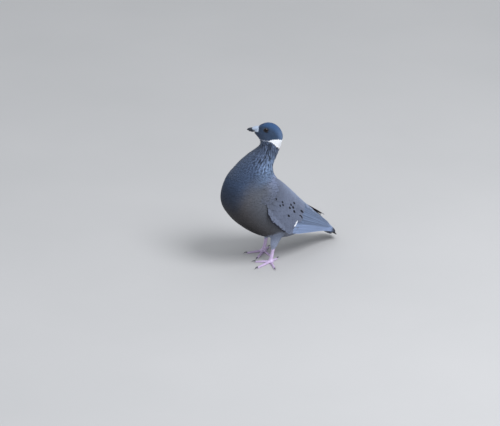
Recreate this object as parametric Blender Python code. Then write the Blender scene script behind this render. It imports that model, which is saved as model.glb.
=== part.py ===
"""A white-collared pigeon standing upright with its head turned to its right, as a life-size display model.

Metres, +Z up, +X the way the trunk faces, +Y its left. The feet stand on Z = 0, and the origin is the centre
of the bird's bounding box, on the floor. Tables and sizes are in millimetres, measured from the point between
the feet. Outlines are drawn on the bird's middle plane as if it looked straight ahead, and the neck and head
are then turned about an upright axis.
"""

import math

import bmesh
import bpy
from mathutils import Vector

MM = 0.001
GAP = 0.3                    # between pieces that meet
BOX_CENTRE = (-25.4, 2.66)  # middle of the bird's box, from the point between its feet
NECK_AXIS_X = -2.0           # the upright axis that the head turns about
HEAD_YAW = math.radians(-40.0)

# The trunk's own axes: along it towards the breast, up through the back, and out to the left.
TRUNK_PITCH = math.radians(46.0)
TRUNK_CENTRE = (-4.0, 87.5)
ALONG = Vector((math.cos(TRUNK_PITCH), 0.0, math.sin(TRUNK_PITCH)))
DORSAL = Vector((-math.sin(TRUNK_PITCH), 0.0, math.cos(TRUNK_PITCH)))
LEFT = Vector((0.0, 1.0, 0.0))

# Rings of the plumage from the tail coverts to the face: the point on the back (x, z), the point on the
# belly (x, z), half the width, and the share of the head's turn.
RINGS = [
    (-107.5, 31.5, -101, 23.5, 12, 0),
    (-97, 45, -80, 28, 17, 0),
    (-78, 66.5, -53, 31, 25, 0),
    (-61.5, 82.5, -21, 31, 34, 0),
    (-45.5, 99.5, 14, 41, 41.5, 0),
    (-31.5, 114.5, 44, 60, 45, 0),
    (-18.5, 128.5, 69, 84, 46.5, 0),
    (-9, 141, 83, 110, 44, 0),
    (-4, 151, 75, 140, 37.5, 0.05),
    (-5, 161, 54.5, 161, 29, 0.2),
    (-12, 172, 34, 175, 23, 0.5),
    (-18, 184, 17, 186.5, 18, 0.8),
    (-21.5, 195.5, 11.5, 196, 15.5, 1),
    (-24, 206, 12.5, 201, 14.5, 1),
    (-22.5, 214.5, 13.5, 203.5, 14, 1),
    (-18, 222, 15, 205.5, 13.6, 1),
    (-10.5, 227.6, 16.5, 207.5, 13, 1),
    (-1.5, 229.6, 18.3, 209.5, 12, 1),
    (6, 228.2, 20.1, 211.4, 9.8, 1),
    (10.8, 225.8, 21.3, 213.2, 7, 1),
    (13.5, 223.8, 22.1, 214.7, 4.3, 1),
]
NECK_FROM = 8.0              # the ring where the trunk ends
HEAD_FROM = 12.4             # the ring where the head starts
LAST_RING = len(RINGS) - 1
NECK_GAP = 0.033             # GAP as a share of the way between rings, at the neck
HEAD_GAP = 0.06              # and at the head
AROUND_BODY = 24

EYE_AT = (2.2, 8.7, 220.6)   # in the head's own axes
EYE_RADIUS = 4.6


def place(x, y, z):
    """A point in millimetres from between the feet, in the model's frame."""
    return Vector((x - BOX_CENTRE[0], y - BOX_CENTRE[1], z)) * MM


def on_trunk(along, dorsal, left):
    """A point in the trunk's own axes."""
    p = ALONG * along + DORSAL * dorsal + LEFT * left
    return place(p.x + TRUNK_CENTRE[0], p.y, p.z + TRUNK_CENTRE[1])


def turned(x, y, z, share=1.0):
    """A point of the straight-ahead bird, turned with the head by this share of its yaw."""
    yaw = HEAD_YAW * share
    ahead = x - NECK_AXIS_X
    return place(
        NECK_AXIS_X + ahead * math.cos(yaw) - y * math.sin(yaw),
        ahead * math.sin(yaw) + y * math.cos(yaw),
        z,
    )


def steps(start, end, count):
    return [start + (end - start) * i / (count - 1) for i in range(count)]


def between(rows, t):
    """The row at t of a table, on a smooth curve through its rows."""
    i = min(int(t), len(rows) - 2)
    f = t - i
    a, b, c, d = (rows[min(max(k, 0), len(rows) - 1)] for k in (i - 1, i, i + 1, i + 2))
    return [
        q + 0.5 * f * (r - p + f * (2 * p - 5 * q + 4 * r - s + f * (3 * (q - r) + s - p)))
        for p, q, r, s in zip(a, b, c, d)
    ]


def material(name, colour, roughness):
    made = bpy.data.materials.new(name)
    made.use_nodes = True
    shader = made.node_tree.nodes["Principled BSDF"]
    shader.inputs["Base Color"].default_value = (*colour, 1.0)
    shader.inputs["Roughness"].default_value = roughness
    return made


def solid(name, bm, finish, group):
    """An object of this name from a closed bmesh."""
    for face in bm.faces:
        face.smooth = True
    mesh = bpy.data.meshes.new(name)
    bm.to_mesh(mesh)
    bm.free()
    mesh.materials.append(finish)
    made = bpy.data.objects.new(name, mesh)
    group.objects.link(made)
    return made


def loft(name, rings, finish, group):
    """A closed solid through rings of points, with flat ends."""
    bm = bmesh.new()
    loops = [[bm.verts.new(p) for p in ring] for ring in rings]
    count = len(loops[0])
    for a, b in zip(loops, loops[1:]):
        for k in range(count):
            bm.faces.new((a[k], a[(k + 1) % count], b[(k + 1) % count], b[k]))
    bm.faces.new(loops[0])
    bm.faces.new(loops[-1])
    bmesh.ops.recalc_face_normals(bm, faces=bm.faces)
    return solid(name, bm, finish, group)


def lengthened(rings, grow):
    """The same rings, with the first and last moved outward by this many millimetres."""
    for end, inner in ((0, 1), (-1, -2)):
        middle = sum(rings[end], Vector()) / len(rings[end])
        outward = (middle - sum(rings[inner], Vector()) / len(rings[inner])).normalized()
        rings[end] = [p + outward * grow * MM for p in rings[end]]
    return rings


def oval(row, count, grow=0.0, squareness=1.0, share=1.0):
    """A ring through a top point (x, z) and a bottom point (x, z), with half its width across."""
    top_x, top_z, bottom_x, bottom_z, half_width = row[:5]
    middle = Vector(((top_x + bottom_x) / 2, (top_z + bottom_z) / 2))
    up = Vector(((top_x - bottom_x) / 2, (top_z - bottom_z) / 2))
    up *= 1 + grow / up.length
    half_width += grow
    points = []
    for k in range(count):
        angle = 2 * math.pi * (k + 0.5) / count
        rise = math.copysign(abs(math.cos(angle)) ** squareness, math.cos(angle))
        side = math.copysign(abs(math.sin(angle)) ** squareness, math.sin(angle))
        at = middle + up * rise
        points.append(turned(at.x, half_width * side, at.y, share))
    return points


def cut(target, cutter):
    """Cut one closed solid out of another."""
    cutter.hide_render = True
    cutter.display_type = "WIRE"
    change = target.modifiers.new("cut by " + cutter.name, "BOOLEAN")
    change.operation = "DIFFERENCE"
    change.solver = "EXACT"
    change.object = cutter


# ---- trunk, neck and head ----


def body(name, start, end, count, finish, group, grow=0.0):
    """A length of the plumage's outer form, between two places on its table of rings."""
    rings = []
    for t in steps(start, end, count):
        row = between(RINGS, t)
        rings.append(oval(row, AROUND_BODY, grow, share=row[5]))
    return loft(name, rings, finish, group)


def eye(name, side, finish, group, grow=0.0):
    bm = bmesh.new()
    bmesh.ops.create_uvsphere(bm, u_segments=16, v_segments=10, radius=(EYE_RADIUS + grow) * MM)
    made = solid(name, bm, finish, group)
    made.location = turned(EYE_AT[0], side * EYE_AT[1], EYE_AT[2])
    return made


# ---- bill ----

# The face that the bill grows from leans back, from its top down to the chin.
FACE_TOP = (13.5, 223.8)
FACE_SLOPE = (22.1 - 13.5) / (223.8 - 214.7)


def on_face(z):
    """How far forward the face is at this height, with the gap in front of it."""
    return FACE_TOP[0] + (FACE_TOP[1] - z) * FACE_SLOPE + GAP * math.hypot(1, FACE_SLOPE)


# Upper point (x, z), lower point (x, z), half the width. The first row of each lies on the face.
BILL_UPPER = [
    (on_face(222.6), 222.6, on_face(216.8), 216.8, 3.4),
    (19.1, 222, 22.9, 216.8, 3.1),
    (23, 221.5, 24.7, 216.8, 2.6),
    (26.5, 221.2, 26.8, 217, 2.1),
    (29.7, 220.5, 29.3, 217.1, 1.7),
    (31.9, 219.1, 31.1, 216.8, 1.1),
    (32.9, 217.5, 32.2, 216.5, 0.5),
]
BILL_LOWER = [
    (on_face(216.5), 216.5, on_face(214.5), 214.5, 3.0),
    (23.9, 216.5, 24.3, 214.2, 2.5),
    (26.5, 216.6, 26.5, 214.6, 1.9),
    (29.1, 216.7, 29.1, 215.1, 1.2),
    (30.3, 216.3, 30.3, 215.6, 0.6),
]
CERE = [
    (on_face(224.2), 224.2, on_face(219.8), 219.8, 3.9),
    (17.1, 224.4, 20.7, 220, 4.1),
    (20, 223.7, 22.4, 220.2, 3.6),
    (22.5, 222.4, 23.5, 220.4, 2.4),
    (23.8, 221.6, 24.1, 220.8, 1.0),
]
BILL_SQUARENESS = 0.8


def beak(name, rows, count, around, finish, group, grow=0.0):
    rings = [oval(between(rows, t), around, grow, BILL_SQUARENESS) for t in steps(0, len(rows) - 1, count)]
    return loft(name, lengthened(rings, grow), finish, group)


# ---- wings: folded, from the wrist beside the breast to the primaries' tips over the tail ----

# Along the trunk; upper edge, bow and lower edge of the outer side (dorsal, left); thickness.
WING = [
    (56, 26, 32, 21, 41, 11, 42, 2.5),
    (50, 33, 25, 30, 45.5, -4, 46.3, 6),
    (37, 37, 17, 36, 49, -16, 47.8, 7.5),
    (20, 39, 11, 39, 49, -21, 47.2, 8),
    (-4, 40, 7, 40, 47, -21.5, 45, 7),
    (-28, 40, 6, 39, 43.5, -18, 41.5, 6),
    (-50, 40.5, 5, 39, 39, -8, 38, 5),
    (-84, 42.5, 4, 41, 29, 14, 28.5, 4),
    (-108, 44, 4, 42, 20, 28.5, 21, 3),
    (-126, 45, 5, 43, 13, 36, 15.5, 2.5),
    (-139, 44.5, 6, 43, 10, 38.5, 11, 2),
]
WING_STEPS = 22
WING_ACROSS = 11
EDGE_SHARE = 0.3                         # the thickness of a wing's edges, as a share of its thickness
# How much further forward, and how much higher over the back, each wing's tip lies.
TIP_SHIFT = {"left": (0.0, 0.0), "right": (8.0, 5.0)}
SHIFT_FROM = 6.0                         # the row where that begins


def wing(name, word, side, finish, group, grow=0.0):
    """A bowed blade: each ring runs over its outer side and back along its inner side."""
    rings = []
    last = len(WING) - 1
    for t in steps(0, last, WING_STEPS):
        along, top_d, top_l, bow_d, bow_l, low_d, low_l, thickness = between(WING, t)
        shift = max(0.0, t - SHIFT_FROM) / (last - SHIFT_FROM)
        along += TIP_SHIFT[word][0] * shift
        lift = TIP_SHIFT[word][1] * shift
        top, bow, low = (Vector((d + lift, l)) for d, l in ((top_d, top_l), (bow_d, bow_l), (low_d, low_l)))
        outer = []
        inner = []
        for v in steps(0, 1, WING_ACROSS):
            run = ((bow - top) * (1 - v) + (low - bow) * v).normalized()
            out = Vector((run.y, -run.x))
            depth = thickness * (EDGE_SHARE + (1 - EDGE_SHARE) * math.sin(math.pi * v) ** 0.6)
            at = top * (1 - v) ** 2 + bow * 2 * v * (1 - v) + low * v * v
            at += run * grow * (2 * v - 1)
            outer.append(at + out * grow)
            inner.append(at - out * (depth + grow))
        rings.append([on_trunk(along, p.x, side * p.y) for p in outer + inner[::-1]])
    return loft(name, lengthened(rings, grow), finish, group)


# ---- tail: the closed fan beyond the coverts ----

# Middle (x, z), thickness, half the width.
TAIL = [
    (-104.9, 26.7, 6, 12.5),
    (-113, 20.4, 4, 14.5),
    (-122, 14.2, 2.8, 16),
    (-129, 9.7, 2, 15.5),
    (-133, 7.4, 1.5, 11.5),
]
TAIL_SQUARENESS = 0.6


def tail(name, finish, group):
    rings = []
    for t in steps(0, len(TAIL) - 1, 9):
        x, z, thickness, half_width = between(TAIL, t)
        up = DORSAL * thickness / 2
        row = (x + up.x, z + up.z, x - up.x, z - up.z, half_width)
        rings.append(oval(row, 16, 0.0, TAIL_SQUARENESS, 0.0))
    return loft(name, rings, finish, group)


# ---- legs: feathered to the heel, then bare ----

# Each foot's place on the floor, and where its toes point, in degrees left of the way the trunk faces.
FEET = {
    "left": dict(at=(10.0, 21.0), inner=-37, middle=12, outer=66, hind=195),
    "right": dict(at=(-8.0, -21.0), inner=80, middle=34, outer=-18, hind=205),
}
# Forward of the foot, up, half the length and half the width.
DRUMSTICK = [
    (-15, 56, 13, 12),
    (-13, 46, 10.5, 9.5),
    (-9.5, 37, 7.5, 7),
    (-7, 30, 5.6, 5),
    (-6, 26.4, 4.4, 3.9),
]
TARSUS = [
    (-5.9, 26.1, 2.7, 2.5),
    (-4.8, 21, 2.1, 1.8),
    (-2.6, 12, 2.1, 1.8),
    (-0.8, 6, 3, 2.8),
    (0, 3.2, 4.6, 4.6),
    (0, 0, 4.6, 4.6),
]
PAD_RADIUS = 5.2             # where the toes start, from the middle of the foot
TOES = {"inner": (19.5, 4.4), "middle": (27, 4.8), "outer": (23.5, 4.4), "hind": (12, 4.0)}  # length, width
CLAW_LENGTHS = {"inner": 6, "middle": 7, "outer": 6, "hind": 5.5}
TOE_SWELLS = 3               # along each toe, one at each joint
CLAW_ROOT = 2.2              # the height of a claw's root
CLAW_BEND = math.radians(55.0)


def shank(name, rows, foot, count, around, finish, group):
    """A round upright length of leg."""
    rings = []
    for t in steps(0, len(rows) - 1, count):
        x, z, half_length, half_width = between(rows, t)
        ring = []
        for k in range(around):
            angle = 2 * math.pi * k / around
            ring.append(place(
                foot["at"][0] + x + half_length * math.cos(angle),
                foot["at"][1] + half_width * math.sin(angle),
                max(z, 0.0),
            ))
        rings.append(ring)
    return loft(name, rings, finish, group)


def on_toe(foot, toe_name, ahead, aside, up):
    """A point measured along a toe from the middle of its foot."""
    yaw = math.radians(foot[toe_name])
    return place(
        foot["at"][0] + ahead * math.cos(yaw) - aside * math.sin(yaw),
        foot["at"][1] + ahead * math.sin(yaw) + aside * math.cos(yaw),
        up,
    )


def toe(name, foot, toe_name, finish, group):
    """A jointed toe: a round back and sides over a flat sole on the floor."""
    length, width = TOES[toe_name]
    rings = []
    for s in steps(0, 1, 9):
        swell = 1 + 0.07 * math.cos(2 * math.pi * TOE_SWELLS * s)
        radius = width / 2 * (0.86 - 0.26 * s) * swell * (0.8 if s == 1 else 1.0)
        ring = []
        for k in range(8):
            angle = 2 * math.pi * (k + 0.5) / 8
            up = max(0.0, radius * (0.8 + math.cos(angle)))
            ring.append(on_toe(foot, toe_name, PAD_RADIUS + s * length, radius * math.sin(angle), up))
        rings.append(ring)
    return loft(name, rings, finish, group)


def claw(name, foot, toe_name, finish, group):
    """A short claw that curves down from the end of its toe."""
    toe_length, width = TOES[toe_name]
    rings = []
    for s in steps(0, 1, 6):
        radius = width * (0.25 - 0.21 * s)
        ahead = PAD_RADIUS + toe_length + GAP + CLAW_LENGTHS[toe_name] * s
        middle = CLAW_ROOT + 0.9 * math.sin(math.pi * s) - 1.6 * s * s
        ring = []
        for k in range(6):
            angle = 2 * math.pi * (k + 0.5) / 6
            lift = radius * math.cos(angle)
            ring.append(on_toe(
                foot,
                toe_name,
                ahead + lift * math.sin(CLAW_BEND * s),
                radius * math.sin(angle),
                middle + lift * math.cos(CLAW_BEND * s),
            ))
        rings.append(ring)
    return loft(name, rings, finish, group)


def main():
    for old in list(bpy.data.objects):
        bpy.data.objects.remove(old)
    parts = bpy.data.collections.new("white_collared_pigeon")
    cutters = bpy.data.collections.new("cutters")
    bpy.context.scene.collection.children.link(parts)
    bpy.context.scene.collection.children.link(cutters)

    slate = material("slate plumage", (0.075, 0.09, 0.125), 0.85)
    hackles = material("neck plumage", (0.05, 0.065, 0.1), 0.8)
    hood = material("hood plumage", (0.06, 0.085, 0.15), 0.8)
    coverts = material("wing plumage", (0.17, 0.18, 0.24), 0.85)
    quills = material("tail plumage", (0.12, 0.14, 0.2), 0.8)
    horn = material("black horn", (0.02, 0.02, 0.023), 0.4)
    powder = material("powdery cere", (0.55, 0.58, 0.66), 0.7)
    iris = material("dark brown eye", (0.03, 0.012, 0.01), 0.1)
    scales = material("pink leg scales", (0.55, 0.27, 0.36), 0.55)

    trunk = body("trunk", 0, NECK_FROM, 20, slate, parts)
    body("neck", NECK_FROM + NECK_GAP, HEAD_FROM, 11, hackles, parts)
    head = body("head", HEAD_FROM + HEAD_GAP, LAST_RING, 16, hood, parts)
    tail("tail", quills, parts)

    for word, side in (("left", 1), ("right", -1)):
        wing("wing_" + word, word, side, coverts, parts)
        cut(trunk, wing("wing_pocket_" + word, word, side, coverts, cutters, GAP))
        eye("eye_" + word, side, iris, parts)
        cut(head, eye("eye_socket_" + word, side, iris, cutters, GAP))

    upper = beak("bill_upper", BILL_UPPER, 9, 12, horn, parts)
    beak("bill_lower", BILL_LOWER, 6, 10, horn, parts)
    beak("cere", CERE, 7, 12, powder, parts)
    cut(upper, beak("cere_clearance", CERE, 7, 12, powder, cutters, 1.4 * GAP))

    whole_trunk = body("trunk_clearance", 0, NECK_FROM, 20, slate, cutters, GAP)
    for word, foot in FEET.items():
        cut(shank("drumstick_" + word, DRUMSTICK, foot, 10, 16, slate, parts), whole_trunk)
        shank("tarsus_" + word, TARSUS, foot, 11, 12, scales, parts)
        for toe_name in TOES:
            toe("toe_" + toe_name + "_" + word, foot, toe_name, scales, parts)
            claw("claw_" + toe_name + "_" + word, foot, toe_name, horn, parts)


main()
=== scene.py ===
import math

import bmesh
import bpy
import numpy as np
from mathutils import Matrix, Vector
from mathutils.bvhtree import BVHTree


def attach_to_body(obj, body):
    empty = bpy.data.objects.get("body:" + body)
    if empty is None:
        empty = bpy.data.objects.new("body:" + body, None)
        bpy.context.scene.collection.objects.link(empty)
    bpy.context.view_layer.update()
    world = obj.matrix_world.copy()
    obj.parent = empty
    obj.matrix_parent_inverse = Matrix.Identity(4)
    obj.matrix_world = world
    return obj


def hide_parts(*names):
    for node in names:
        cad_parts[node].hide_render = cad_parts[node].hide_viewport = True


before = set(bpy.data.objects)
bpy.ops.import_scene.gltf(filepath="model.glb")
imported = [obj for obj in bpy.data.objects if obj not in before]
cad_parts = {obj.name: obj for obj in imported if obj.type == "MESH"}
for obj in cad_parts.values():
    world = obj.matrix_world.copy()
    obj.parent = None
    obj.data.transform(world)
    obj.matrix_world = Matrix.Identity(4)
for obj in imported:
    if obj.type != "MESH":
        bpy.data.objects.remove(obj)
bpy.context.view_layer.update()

# ---- The studio ----
# A wide pale floor of matt board, a soft box high over the bird's back, a weak one before its breast, and
# an even grey room. The camera looks down on the bird's left side from a long way off.

STAND = Vector((0.0254, -0.00266, 0.0))      # the point on the floor between the feet
CAMERA_AZIMUTH = math.radians(143)
CAMERA_ELEVATION = math.radians(23)
CAMERA_DISTANCE = 6.0
SENSOR = 36                                  # millimetres
FRAME_WIDTH = 0.8                            # metres across the picture, at the bird
STAND_LEFT_OF_MIDDLE = -0.0282
STAND_BELOW_MIDDLE = 0.0698
FLOOR_RADIUS = 4
BREAST_HEIGHT = Vector((0, 0, 0.12))         # the soft boxes face this


def linear(code):
    """An sRGB hex colour as linear red, green and blue."""
    values = np.array([int(code[i:i + 2], 16) / 255 for i in (1, 3, 5)])
    return np.where(values <= 0.04045, values / 12.92, ((values + 0.055) / 1.055) ** 2.4)


def add(tree, kind, inputs=(), out=None, **settings):
    """Add a node, set its properties and return one of its outputs. Its inputs are given by name or in their
    order, each as a socket to link, a value or a hex colour."""
    made = tree.nodes.new(kind)
    for name, value in settings.items():
        setattr(made, name, value)
    sockets = {s.identifier: s for s in made.inputs}
    for name, value in inputs.items() if isinstance(inputs, dict) else zip(sockets, inputs):
        if isinstance(value, bpy.types.NodeSocket):
            tree.links.new(value, sockets[name])
        elif isinstance(value, str) and value.startswith("#"):
            sockets[name].default_value = (*linear(value), 1)
        else:
            sockets[name].default_value = value
    outputs = {s.identifier: s for s in made.outputs}
    return outputs[out] if out else next(iter(outputs.values()), made)


def finish(name, roughness, **shader):
    """A new material, its tree and its main shader, with the shader's steady values set on its own sockets."""
    made = bpy.data.materials.new(name)
    made.use_nodes = True
    surface = made.node_tree.nodes["Principled BSDF"]
    surface.inputs["Roughness"].default_value = roughness
    for socket, value in shader.items():
        surface.inputs[socket.replace("_", " ")].default_value = value
    return made, made.node_tree, surface


def cover(tree, surface, colour, height=None, strength=0.0, distance=0.0):
    """Give a shader its colour and, where there is a height, its relief."""
    tree.links.new(colour, surface.inputs["Base Color"])
    if height is not None:
        relief = add(tree, "ShaderNodeBump", {"Height": height, "Strength": strength, "Distance": distance})
        tree.links.new(relief, surface.inputs["Normal"])


def grained(name, roughness, kind, texture, low, high, bump=None, mark=None, **shader):
    """A finish whose colour and relief follow one fine texture, and which is black where the mark is 1."""
    made, tree, surface = finish(name, roughness, **shader)
    grain = add(tree, "ShaderNodeTex" + kind, {"Vector": add(tree, "ShaderNodeTexCoord", out="Object"), **texture})
    colour = add(tree, "ShaderNodeMix", {"Factor_Float": grain, "A_Color": low, "B_Color": high},
                 "Result_Color", data_type="RGBA")
    if mark:
        marked = add(tree, "ShaderNodeAttribute", out="Fac", attribute_name=mark)
        colour = add(tree, "ShaderNodeMix", {"Factor_Float": marked, "A_Color": colour, "B_Color": "#17171b"},
                     "Result_Color", data_type="RGBA")
    cover(tree, surface, colour, grain if bump else None, bump or 0.0, 0.0002)
    return made


def mesh_object(name, points, faces, smooth=True):
    mesh = bpy.data.meshes.new(name)
    mesh.from_pydata([tuple(p) for p in np.asarray(points).reshape(-1, 3)], [], faces)
    mesh.polygons.foreach_set("use_smooth", [smooth] * len(mesh.polygons))
    made = bpy.data.objects.new(name, mesh)
    bpy.context.scene.collection.objects.link(made)
    return made


# The board is matt and faintly clouded.
board = grained("matt_pale_board", 0.85, "Noise", {"Scale": 3.0, "Detail": 4.0}, "#bab8b4", "#c4c1bd")
rim = [(FLOOR_RADIUS * math.cos(k * math.pi / 32), FLOOR_RADIUS * math.sin(k * math.pi / 32), 0) for k in range(64)]
floor = mesh_object("floor", rim, [tuple(range(64))], smooth=False)
floor.data.materials.append(board)

outward = Vector((
    math.sin(CAMERA_AZIMUTH) * math.cos(CAMERA_ELEVATION),
    -math.cos(CAMERA_AZIMUTH) * math.cos(CAMERA_ELEVATION),
    math.sin(CAMERA_ELEVATION)))
rightward = Vector((math.cos(CAMERA_AZIMUTH), math.sin(CAMERA_AZIMUTH), 0))
upward = outward.cross(rightward)
camera = bpy.data.objects.new("camera", bpy.data.cameras.new("camera"))
bpy.context.scene.collection.objects.link(camera)
camera.data.sensor_width = SENSOR
camera.data.lens = SENSOR * CAMERA_DISTANCE / FRAME_WIDTH
camera.data.clip_end = 50
seen_from = STAND + outward * CAMERA_DISTANCE + rightward * STAND_LEFT_OF_MIDDLE + upward * STAND_BELOW_MIDDLE
camera.matrix_world = Matrix.Translation(seen_from) @ Matrix((rightward, upward, outward)).transposed().to_4x4()
bpy.context.scene.camera = camera
bpy.context.scene.view_settings.view_transform = "Standard"


def soft_box(name, at, size, power, tint):
    light = bpy.data.lights.new(name, "AREA")
    light.shape = "DISK"
    light.size = size
    light.energy = power
    light.color = linear(tint)
    made = bpy.data.objects.new(name, light)
    made.location = at
    made.rotation_euler = (at - STAND - BREAST_HEIGHT).to_track_quat("Z", "Y").to_euler()
    bpy.context.scene.collection.objects.link(made)


soft_box("key", STAND + rightward * 1.1 + outward * 1.0 + Vector((0, 0, 1.6)), 1.3, 44, "#f2f6ff")
soft_box("fill", STAND - rightward * 1.4 + outward * 1.6 + Vector((0, 0, 1.0)), 1.3, 5, "#e8eeff")
room = bpy.data.worlds.new("grey_room")
bpy.context.scene.world = room
room.use_nodes = True
room.node_tree.nodes["Background"].inputs["Color"].default_value = (*linear("#dfe5ee"), 1)
room.node_tree.nodes["Background"].inputs["Strength"].default_value = 0.85

# ---- The plumage's outer form and its colours ----
# The bird's outline over its feathers, as ovals numbered from the longest tail coverts (-1) to the face (20).
# Its grey is pigment in every barb: blue slate on the hood and neck, browner on the belly, lilac on the
# wings. Painted shade darkens the underside, and painted light and sky sheen make the back, the neck's base
# and the crown paler and bluer. The nape has a white collar that narrows to a thin pale line under the chin.

MM = 0.001
BOX_CENTRE = (-25.4, 2.66)   # the middle of the bird's box, in millimetres from the point between its feet
NECK_AXIS_X = -2.0
HEAD_YAW = math.radians(-40.0)
# The point on the back (x, z), the point on the belly (x, z), half the width, the share of the head's turn.
RINGS = np.array([
    (-121, 17, -118, 12.5, 14, 0),
    (-107.5, 31.5, -101, 23.5, 12, 0), (-97, 45, -80, 28, 17, 0), (-78, 66.5, -53, 31, 25, 0),
    (-61.5, 82.5, -21, 31, 34, 0), (-45.5, 99.5, 14, 41, 41.5, 0), (-31.5, 114.5, 44, 60, 45, 0),
    (-18.5, 128.5, 69, 84, 46.5, 0), (-9, 141, 83, 110, 44, 0), (-4, 151, 75, 140, 37.5, 0.05),
    (-5, 161, 54.5, 161, 29, 0.2), (-12, 172, 34, 175, 23, 0.5), (-18, 184, 17, 186.5, 18, 0.8),
    (-21.5, 195.5, 11.5, 196, 15.5, 1), (-24, 206, 12.5, 201, 14.5, 1), (-22.5, 214.5, 13.5, 203.5, 14, 1),
    (-18, 222, 15, 205.5, 13.6, 1), (-10.5, 227.6, 16.5, 207.5, 13, 1), (-1.5, 229.6, 18.3, 209.5, 12, 1),
    (6, 228.2, 20.1, 211.4, 9.8, 1), (10.8, 225.8, 21.3, 213.2, 7, 1), (13.5, 223.8, 22.1, 214.7, 4.3, 1),
])
# The collar's upper and lower edges, in rings, at these angles from the nape round to the throat.
COLLAR_ANGLES = np.radians((0, 27, 51, 75, 99, 111, 144, 180))
COLLAR_TOP = (12.5, 12.6, 12.95, 13.2, 13.1, 13.17, 13.5, 13.6)
COLLAR_FOOT = (11.35, 11.4, 11.7, 12.3, 12.9, 12.98, 13.36, 13.46)

# The crown's bluer slate is a painted sky sheen.
HOOD_TOP_SKY_SHEEN, HOOD, HOOD_CHEEK = map(linear, ("#38557b", "#35455b", "#404e64"))
COLLAR_WHITE, THROAT_LINE = map(linear, ("#f3f4f6", "#949bab"))
# The mantle and the neck's base are paler here as painted light from above.
NECK_DARK, NECK_BASE_PAINTED_LIGHT, MANTLE_PAINTED_LIGHT = map(linear, ("#4b566a", "#647690", "#808aa4"))
BREAST, BELLY, FLANK, VENT = map(linear, ("#404e65", "#504e50", "#585b62", "#747987"))


def through(table, t):
    """The columns of a table at any rows t, on a smooth curve through its rows."""
    t = np.asarray(t, float)
    i = np.clip(t.astype(int), 0, len(table) - 2)
    f = (t - i)[..., None]
    a, b, c, d = (table[np.clip(i + k, 0, len(table) - 1)] for k in (-1, 0, 1, 2))
    return np.moveaxis(b + 0.5 * f * (c - a + f * (2 * a - 5 * b + 4 * c - d + f * (3 * (b - c) + d - a))), -1, 0)


def place(x, y, z):
    """Millimetres from the point between the feet, as metres in the model's frame."""
    return np.stack([x - BOX_CENTRE[0], y - BOX_CENTRE[1], z], -1) * MM


def turned(x, y, z, share):
    """The same for the straight-ahead bird, turned with the head by this share of its yaw."""
    yaw = HEAD_YAW * share
    ahead = x - NECK_AXIS_X
    return place(
        NECK_AXIS_X + ahead * np.cos(yaw) - y * np.sin(yaw), ahead * np.sin(yaw) + y * np.cos(yaw), z)


def on_oval(top_x, top_z, low_x, low_z, rise):
    """How far forward and up a place on an oval is: rise is 1 at its upper point and -1 at its lower one."""
    return (top_x + low_x) / 2 + (top_x - low_x) / 2 * rise, (top_z + low_z) / 2 + (top_z - low_z) / 2 * rise


def on_body(t, angle):
    """A point of the outer form: the ring, and the angle from the back over the bird's left side."""
    *ends, half_width, share = through(RINGS, t + 1)
    x, z = on_oval(*ends, np.cos(angle))
    return turned(x, half_width * np.sin(angle), z, share)


def step(low, high, value):
    """0 below low, 1 above high, and smooth between."""
    share = np.clip((value - low) / (high - low), 0, 1)
    return (share * share * (3 - 2 * share))[..., None]


def toward(colour, other, share):
    return colour + (other - colour) * share


def unit(vectors):
    return vectors / np.maximum(np.linalg.norm(vectors, axis=-1, keepdims=True), 1e-12)


def body_colour(t, angle):
    """The plumage's colour at these places, laid on from the vent to the hood. Painted shade darkens the
    underside, and painted light and sky sheen make the back, the neck's base and the crown paler and bluer.
    """
    side = np.abs(angle)
    front = step(2.0, 2.8, side)[..., 0]
    # Painted shade: the belly's underside and the lower breast's front are darkened where little light reaches.
    painted_underside_shade = step(2.2, 2.85, side) * step(3.6, 4.8, t) * (1 - step(7.4, 9.2, t))
    colour = toward(VENT, FLANK, step(2.8, 4.8, t))
    colour = toward(colour, BELLY, step(3.3, 4.7, t) * step(1.7, 2.6, side))
    colour = toward(colour, BREAST, step(7.3 - 1.2 * front, 9.0 - 0.8 * front, t) * step(0.7, 1.8, side))
    colour = colour * (1 - painted_underside_shade * (0.75 - 0.27 * step(5.2, 6.2, t)))
    # Painted light from above: the back and the top of the neck's base are paler.
    colour = toward(colour, MANTLE_PAINTED_LIGHT, (1 - step(0.7, 1.6, side)) * step(1.0, 3.0, t))
    colour = toward(colour, NECK_BASE_PAINTED_LIGHT, step(7.6, 8.6, t) * (1 - step(1.2, 2.1, side)))
    colour = toward(colour, NECK_DARK, step(8.6, 11.2, t))
    foot, top = (np.interp(side, COLLAR_ANGLES, edge) for edge in (COLLAR_FOOT, COLLAR_TOP))
    colour = np.where((t > foot)[..., None], toward(COLLAR_WHITE, THROAT_LINE, step(1.6, 1.9, side)), colour)
    # Painted sheen: the crown is bluer and the back of the hood paler, for the sky's light on them.
    hood = toward(toward(HOOD_TOP_SKY_SHEEN, HOOD, step(0.5, 1.1, side)), HOOD_CHEEK, step(1.3, 2.0, side))
    hood = toward(hood, NECK_BASE_PAINTED_LIGHT, (1 - step(13.0, 16.0, t)) * (1 - step(0.5, 1.0, side)) * 0.7)
    return np.where((t > top)[..., None], hood, colour)


def lattice(rows, columns):
    return np.meshgrid(rows, columns, indexing="ij")


def circle(count, start=0.0, end=2 * math.pi):
    """Evenly spaced angles once round, without the last, which is the first again."""
    return np.linspace(start, end, count + 1)[:-1]


def grid_faces(rows, columns, closed=True, ends=False):
    """The quads of a grid of points, joined round where it is closed, and its two ends if they are wanted."""
    last = columns if closed else columns - 1
    quads = [(i * columns + j, i * columns + (j + 1) % columns,
              (i + 1) * columns + (j + 1) % columns, (i + 1) * columns + j)
             for i in range(rows - 1) for j in range(last)]
    caps = [tuple(range(columns))[::-1], tuple((rows - 1) * columns + k for k in range(columns))]
    return quads + caps if ends else quads


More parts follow.
